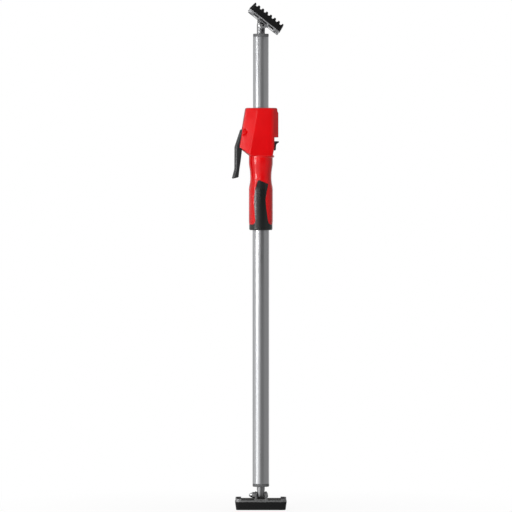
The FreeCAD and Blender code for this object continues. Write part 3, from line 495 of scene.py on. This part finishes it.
def dress(node, width):
    """A merged copy of a solid with its hard edges eased."""
    mesh = frame["nodes"][node].data.copy()
    mesh.name = "dressed_" + node
    work = bmesh.new()
    work.from_mesh(mesh)
    bmesh.ops.remove_doubles(work, verts=work.verts, dist=MERGE_DISTANCE)
    bmesh.ops.dissolve_limit(
        work, angle_limit=math.radians(FLAT_DEGREES), verts=work.verts, edges=work.edges
    )
    work.to_mesh(mesh)
    work.free()
    if mesh.has_custom_normals:
        mesh.attributes.remove(mesh.attributes["custom_normal"])
    smooth_by_angle(mesh, HARD_EDGE_DEGREES)
    piece = new_piece("dressed_" + node, mesh, node)
    ease = piece.modifiers.new("eased_edges", "BEVEL")
    ease.width = width
    ease.segments = EASE_SEGMENTS
    ease.limit_method = "ANGLE"
    ease.angle_limit = math.radians(HARD_EDGE_DEGREES)
    ease.harden_normals = True
    settle(piece, node)


def new_maker(name, sizes):
    """An empty geometry tree with named sizes and a finish."""
    tree = bpy.data.node_groups.new(name, "GeometryNodeTree")
    for label, value in sizes:
        socket = tree.interface.new_socket(label, in_out="INPUT", socket_type="NodeSocketFloat")
        socket.default_value = value
    tree.interface.new_socket("Finish", in_out="INPUT", socket_type="NodeSocketMaterial")
    tree.interface.new_socket("Geometry", in_out="OUTPUT", socket_type="NodeSocketGeometry")
    return tree, tree.nodes.new("NodeGroupInput")


def reckon(tree, operation, first, second):
    """A sum, difference or product of sockets and numbers."""
    made = add(tree, "ShaderNodeMath", operation=operation)
    for socket, value in zip(made.inputs, (first, second)):
        if isinstance(value, bpy.types.NodeSocket):
            join(tree, value, socket)
        else:
            socket.default_value = value
    return made.outputs["Value"]


def sweep(tree, entry, path, section, rise, caps):
    """A section carried along a path, raised, smoothed and given its finish."""
    body = add(tree, "GeometryNodeCurveToMesh", {"Fill Caps": caps})
    join(tree, path, body.inputs["Curve"])
    join(tree, section, body.inputs["Profile Curve"])
    lift = add(tree, "ShaderNodeCombineXYZ")
    join(tree, rise, lift.inputs["Z"])
    raised = add(tree, "GeometryNodeTransform")
    join(tree, body.outputs["Mesh"], raised.inputs["Geometry"])
    join(tree, lift.outputs["Vector"], raised.inputs["Translation"])
    smooth = add(tree, "GeometryNodeSetShadeSmooth")
    join(tree, raised.outputs["Geometry"], smooth.inputs["Geometry"])
    real = add(tree, "GeometryNodeRealizeInstances")
    join(tree, smooth.outputs["Geometry"], real.inputs["Geometry"])
    painted = add(tree, "GeometryNodeSetMaterial")
    join(tree, real.outputs["Geometry"], painted.inputs["Geometry"])
    join(tree, entry.outputs["Finish"], painted.inputs["Material"])
    leave = tree.nodes.new("NodeGroupOutput")
    join(tree, painted.outputs["Geometry"], leave.inputs["Geometry"])


def set_inputs(modifier, values):
    """Values of a node tree's named inputs, by their identifiers."""
    for item in modifier.node_group.interface.items_tree:
        if item.item_type == "SOCKET" and item.in_out == "INPUT" and item.name in values:
            modifier[item.identifier] = values[item.name]


def grown(name, tree, values):
    """The plain mesh that a node tree makes."""
    maker = bpy.data.objects.new(name + "_maker", bpy.data.meshes.new(name + "_maker"))
    scene.collection.objects.link(maker)
    modifier = maker.modifiers.new("grow", "NODES")
    modifier.node_group = tree
    set_inputs(modifier, values)
    graph = bpy.context.evaluated_depsgraph_get()
    mesh = bpy.data.meshes.new_from_object(maker.evaluated_get(graph))
    maker.modifiers.remove(modifier)
    bpy.data.objects.remove(maker)
    return mesh


# Tubes: a wall section with eased ends, carried round a circle

OUTER_TUBE_WALL = 0.8 * MM
INNER_TUBE_WALL = 1.2 * MM
TUBE_END_ROUND = 0.3 * MM
TUBE_END_STEPS = 4
TUBE_SIDES = 128
TUBE_SMOOTH_DEGREES = 40.0


def build_tube_tree():
    tree, entry = new_maker(
        "drawn_tube",
        [
            ("Outer Radius", 0.015),
            ("Wall", 0.001),
            ("Low", 0.0),
            ("High", 0.1),
            ("End Round", 0.0003),
        ],
    )
    low = entry.outputs["Low"]
    high = entry.outputs["High"]
    wall = entry.outputs["Wall"]
    section = add(tree, "GeometryNodeCurvePrimitiveQuadrilateral")
    join(tree, wall, section.inputs["Width"])
    join(tree, reckon(tree, "SUBTRACT", high, low), section.inputs["Height"])
    eased = add(tree, "GeometryNodeFilletCurve", {"Count": TUBE_END_STEPS}, mode="POLY")
    join(tree, section.outputs["Curve"], eased.inputs["Curve"])
    join(tree, entry.outputs["End Round"], eased.inputs["Radius"])
    path = add(tree, "GeometryNodeCurvePrimitiveCircle", {"Resolution": TUBE_SIDES})
    half_wall = reckon(tree, "MULTIPLY", wall, 0.5)
    middle = reckon(tree, "SUBTRACT", entry.outputs["Outer Radius"], half_wall)
    join(tree, middle, path.inputs["Radius"])
    upright = add(tree, "GeometryNodeSetCurveNormal", mode="Z_UP")
    join(tree, path.outputs["Curve"], upright.inputs["Curve"])
    rise = reckon(tree, "MULTIPLY", reckon(tree, "ADD", low, high), 0.5)
    sweep(tree, entry, upright.outputs["Curve"], eased.outputs["Curve"], rise, False)
    return tree


TUBE_TREE = build_tube_tree()


def tube(node, wall):
    """A drawn tube as wide and long as its solid."""
    low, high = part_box(node)
    mesh = grown(
        "drawn_" + node,
        TUBE_TREE,
        {
            "Outer Radius": (high.x - low.x) / 2,
            "Wall": wall,
            "Low": low.z,
            "High": high.z,
            "End Round": TUBE_END_ROUND,
            "Finish": FINISHES[slot_of_node[node]],
        },
    )
    smooth_by_angle(mesh, TUBE_SMOOTH_DEGREES)
    piece = new_piece("drawn_" + node, mesh, node)
    settle(piece, node)


tube("outer_tube", OUTER_TUBE_WALL)
tube("inner_tube", INNER_TUBE_WALL)


# Springs: round wire wound between two heights

SPRING_WIRE_RADIUS = 0.9 * MM
SPRING_WIRE_SIDES = 12
SPRING_STEPS_PER_TURN = 48


def build_spring_tree():
    tree, entry = new_maker(
        "wound_spring",
        [
            ("Turns", 4.0),
            ("Middle Radius", 0.017),
            ("Wire Radius", 0.0009),
            ("Low", 0.0),
            ("High", 0.02),
        ],
    )
    path = add(tree, "GeometryNodeCurveSpiral", {"Resolution": SPRING_STEPS_PER_TURN})
    join(tree, entry.outputs["Turns"], path.inputs["Rotations"])
    join(tree, entry.outputs["Middle Radius"], path.inputs["Start Radius"])
    join(tree, entry.outputs["Middle Radius"], path.inputs["End Radius"])
    tall = reckon(tree, "SUBTRACT", entry.outputs["High"], entry.outputs["Low"])
    join(tree, tall, path.inputs["Height"])
    section = add(tree, "GeometryNodeCurvePrimitiveCircle", {"Resolution": SPRING_WIRE_SIDES})
    join(tree, entry.outputs["Wire Radius"], section.inputs["Radius"])
    sweep(
        tree, entry, path.outputs["Curve"], section.outputs["Curve"], entry.outputs["Low"], True
    )
    return tree


SPRING_TREE = build_spring_tree()


def spring(node, turns):
    """A wound spring between the heights of its solid."""
    low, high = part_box(node)
    mesh = grown(
        "wound_" + node,
        SPRING_TREE,
        {
            "Turns": turns,
            "Middle Radius": high.x - SPRING_WIRE_RADIUS,
            "Wire Radius": SPRING_WIRE_RADIUS,
            "Low": low.z + SPRING_WIRE_RADIUS,
            "High": high.z - SPRING_WIRE_RADIUS,
            "Finish": FINISHES[slot_of_node[node]],
        },
    )
    piece = new_piece("wound_" + node, mesh, node)
    settle(piece, node)
    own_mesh(piece)


spring("drive_spring", turns=4.0)
spring("lock_spring", turns=2.0)


# Solids that keep their shape, with their edges eased by a width in millimetres

EASED = {
    "housing_front": 0.35,
    "housing_back": 0.35,
    "soft_grip": 0.4,
    "lever": 1.5,
    "release_tab": 0.6,
    "pivot_pin_caps": 0.2,
    "lever_pivot_pin": 0.2,
    "lever_roller": 0.2,
    "foot_pad": 0.6,
    "head_pad": 0.6,
    "foot_plate": 0.4,
    "head_plate": 0.4,
    "foot_stem": 0.3,
    "head_stem": 0.3,
    "foot_end_cap": 0.3,
    "head_end_cap": 0.3,
    "foot_pivot_bolt": 0.2,
    "head_pivot_bolt": 0.2,
    "foot_cap_nut": 0.3,
    "head_cap_nut": 0.3,
    "foot_washers": 0.15,
    "head_washers": 0.15,
    "housing_screws": 0.15,
    "drive_plate": 0.3,
    "lock_plate": 0.3,
    "inner_tube_bush": 0.2,
    "lower_guide_bush": 0.2,
    "upper_guide_bush": 0.2,
}
for node_name, easing in EASED.items():
    dress(node_name, easing * MM)


# Camera: a long lens at the height of the grip, a little to the lever side

DISTANCE = 9.0
EYE_HEIGHT = 0.61
MIDDLE = 0.4736
SWING = math.radians(-5.0)
ASIDE = 9.1 * MM
METRES_PER_PIXEL = 1.8705 * MM
FRAME_PIXELS = 512
FARTHEST = 200.0

camera_data = bpy.data.cameras.new("camera")
camera_data.lens = DISTANCE / METRES_PER_PIXEL / FRAME_PIXELS * camera_data.sensor_width
camera_data.clip_end = FARTHEST
camera = bpy.data.objects.new("camera", camera_data)
right = Vector((math.cos(SWING), math.sin(SWING), 0))
backward = Vector((math.sin(SWING), -math.cos(SWING), 0))
camera.location = backward * DISTANCE - right * ASIDE + Vector((0, 0, EYE_HEIGHT))
dip = math.atan2(EYE_HEIGHT - MIDDLE, DISTANCE)
camera.rotation_euler = (math.radians(90) - dip, 0, SWING)
scene.collection.objects.link(camera)
scene.camera = camera


# Studio: pale floor, white surround, soft lamps, panels that shape the gloss

WHITE = (1, 1, 1, 1)
LAMP_DISTANCE = 3.0
LAMP_TALL = 2.0
SURROUND_FILL = 0.06
FLOOR_REACH = 40.0
FLOOR_TONE = (0.80, 0.80, 0.80, 1)
PANEL_DISTANCE = 1.4
PANEL_STEP_DEGREES = 12.0
FLOOR_STRIP_START = 0.1
FLOOR_STRIP_HEIGHT = 1 * MM


def around(degrees, distance, height):
    """A spot at an angle to the right of the camera's side."""
    turn = SWING + math.radians(degrees)
    return Vector((math.sin(turn) * distance, -math.cos(turn) * distance, height))


def soft_lamp(name, degrees, height, width, power):
    """A large lamp that faces the middle of the prop and leaves the gloss to the panels."""
    data = bpy.data.lights.new(name, "AREA")
    data.shape = "RECTANGLE"
    data.size = width
    data.size_y = LAMP_TALL
    data.energy = power
    lamp = bpy.data.objects.new(name, data)
    lamp.location = around(degrees, LAMP_DISTANCE, height)
    aim = Vector((0, 0, MIDDLE)) - lamp.location
    lamp.rotation_euler = aim.to_track_quat("-Z", "Y").to_euler()
    lamp.visible_glossy = False
    scene.collection.objects.link(lamp)


soft_lamp("front_lamp", degrees=-21.0, height=1.1, width=1.6, power=77.0)
soft_lamp("rear_right_lamp", degrees=148.0, height=1.4, width=1.4, power=50.0)
soft_lamp("rear_left_lamp", degrees=-150.0, height=1.4, width=1.4, power=38.0)


def seen_directly(tree):
    """1 for rays that come from the camera, gloss or glass."""
    path = add(tree, "ShaderNodeLightPath")
    value = path.outputs["Is Camera Ray"]
    for label in ("Is Glossy Ray", "Is Transmission Ray"):
        step = add(tree, "ShaderNodeMath", operation="MAXIMUM")
        join(tree, value, step.inputs[0])
        join(tree, path.outputs[label], step.inputs[1])
        value = step.outputs["Value"]
    return value


world = bpy.data.worlds.new("studio")
world.use_nodes = True
scene.world = world
surround = world.node_tree
strength = add(surround, "ShaderNodeMapRange", {"To Min": SURROUND_FILL, "To Max": 1.0})
join(surround, seen_directly(surround), strength.inputs["Value"])
background = surround.nodes["Background"]
background.inputs["Color"].default_value = WHITE
join(surround, strength.outputs["Result"], background.inputs["Strength"])


def floor_material():
    """Pale and matt, keeping the shadow near the prop and white farther out."""
    material = bpy.data.materials.new("pale_floor")
    material.use_nodes = True
    tree = material.node_tree
    shader = tree.nodes["Principled BSDF"]
    shader.inputs["Base Color"].default_value = FLOOR_TONE
    shader.inputs["Roughness"].default_value = 0.9
    shader.inputs["Specular IOR Level"].default_value = 0.0
    glow = add(tree, "ShaderNodeEmission", {"Color": WHITE, "Strength": 1.0})
    place = add(tree, "ShaderNodeTexCoord")
    away = add(tree, "ShaderNodeVectorMath", operation="LENGTH")
    join(tree, place.outputs["Object"], away.inputs[0])
    whiten = add(
        tree,
        "ShaderNodeMapRange",
        {"From Min": 0.05, "From Max": 0.6, "To Min": 0.92, "To Max": 1.0},
    )
    join(tree, away.outputs["Value"], whiten.inputs["Value"])
    blend = add(tree, "ShaderNodeMixShader")
    share = product(tree, seen_directly(tree), whiten.outputs["Result"])
    join(tree, share, blend.inputs["Fac"])
    join(tree, shader.outputs["BSDF"], blend.inputs[1])
    join(tree, glow.outputs["Emission"], blend.inputs[2])
    join(tree, blend.outputs["Shader"], tree.nodes["Material Output"].inputs["Surface"])
    return material


def stage_card(name, corners, faces, material):
    """A flat piece of the studio, which isn't part of the prop."""
    mesh = bpy.data.meshes.new(name)
    mesh.from_pydata(corners, [], faces)
    mesh.materials.append(material)
    card = bpy.data.objects.new(name, mesh)
    scene.collection.objects.link(card)
    return card


floor_sides = ((-1, -1), (1, -1), (1, 1), (-1, 1))
floor_corners = [(x * FLOOR_REACH, y * FLOOR_REACH, 0) for x, y in floor_sides]
stage_card("floor", floor_corners, [(0, 1, 2, 3)], floor_material())


# Panels that the gloss shows: first and last degree to the right of the camera, and light
TUBE_PANELS = [
    (-155.0, -110.0, 0.75),
    (-63.0, -51.0, 4.0),
    (-51.0, -35.0, 1.5),
    (-35.0, -20.0, 1.3),
    (-20.0, -6.0, 0.65),
    (-6.0, 42.0, 0.31),
    (42.0, 136.0, 0.46),
    (172.0, 205.0, 0.31),
]
GRIP_PANELS = [
    (-64.0, -46.0, 24.0),
    (-46.0, -30.0, 0.3),
    (-30.0, 42.0, 0.10),
    (42.0, 136.0, 0.5),
    (172.0, 205.0, 0.2),
]
HOUSING_PANELS = [
    (-110.0, -42.0, 0.45),
    (-42.0, -10.0, 3.0),
    (-10.0, 42.0, 0.06),
    (42.0, 136.0, 0.5),
    (172.0, 205.0, 0.2),
]
TOP_TUBE_PANELS = [
    (-155.0, -110.0, 0.75),
    (-64.0, -50.0, 10.5),
    (-50.0, -35.0, 1.3),
    (-35.0, -20.0, 0.9),
    (-20.0, -6.0, 0.5),
    (-6.0, 42.0, 0.36),
    (42.0, 136.0, 0.6),
    (172.0, 205.0, 0.31),
]
UPPER_PANELS = [
    (-155.0, -110.0, 0.75),
    (-64.0, -53.0, 4.4),
    (-53.0, -32.0, 0.15),
    (-32.0, -6.0, 0.8),
    (-6.0, 42.0, 0.30),
    (42.0, 136.0, 0.46),
    (172.0, 205.0, 0.3),
]

# Lowest and highest place of each set of panels
PANEL_BANDS = [
    (0.0, 0.540, TUBE_PANELS),
    (0.540, 0.660, GRIP_PANELS),
    (0.660, 0.780, HOUSING_PANELS),
    (0.780, 0.915, TOP_TUBE_PANELS),
    (0.915, 2.4, UPPER_PANELS),
]


def panel_material(light):
    material = bpy.data.materials.new("gloss_panel_" + str(light))
    material.use_nodes = True
    tree = material.node_tree
    glow = add(tree, "ShaderNodeEmission", {"Color": WHITE, "Strength": light})
    join(tree, glow.outputs["Emission"], tree.nodes["Material Output"].inputs["Surface"])
    return material


def gloss_panels(bands):
    """Upright panels round the prop, and strips on the floor, that only the gloss shows."""
    corners = []
    faces = []
    lights = []
    for low, high, panels in bands:
        runs = [(PANEL_DISTANCE, low, PANEL_DISTANCE, high)]
        if low == 0.0:
            runs.append((FLOOR_STRIP_START, FLOOR_STRIP_HEIGHT, PANEL_DISTANCE, FLOOR_STRIP_HEIGHT))
        for first, last, light in panels:
            for near, base, far, top in runs:
                count = math.ceil((last - first) / PANEL_STEP_DEGREES)
                for step in range(count):
                    start, end = (first + (last - first) * (step + k) / count for k in (0, 1))
                    faces.append(tuple(range(len(corners), len(corners) + 4)))
                    lights.append(light)
                    corners += [around(start, near, base), around(end, near, base)]
                    corners += [around(end, far, top), around(start, far, top)]
    levels = sorted(set(lights))
    card = stage_card("gloss_panels", corners, faces, panel_material(levels[0]))
    for level in levels[1:]:
        card.data.materials.append(panel_material(level))
    card.data.polygons.foreach_set("material_index", [levels.index(light) for light in lights])
    card.visible_camera = False
    card.visible_diffuse = False
    card.visible_shadow = False


gloss_panels(PANEL_BANDS)

scene.view_settings.view_transform = "Standard"
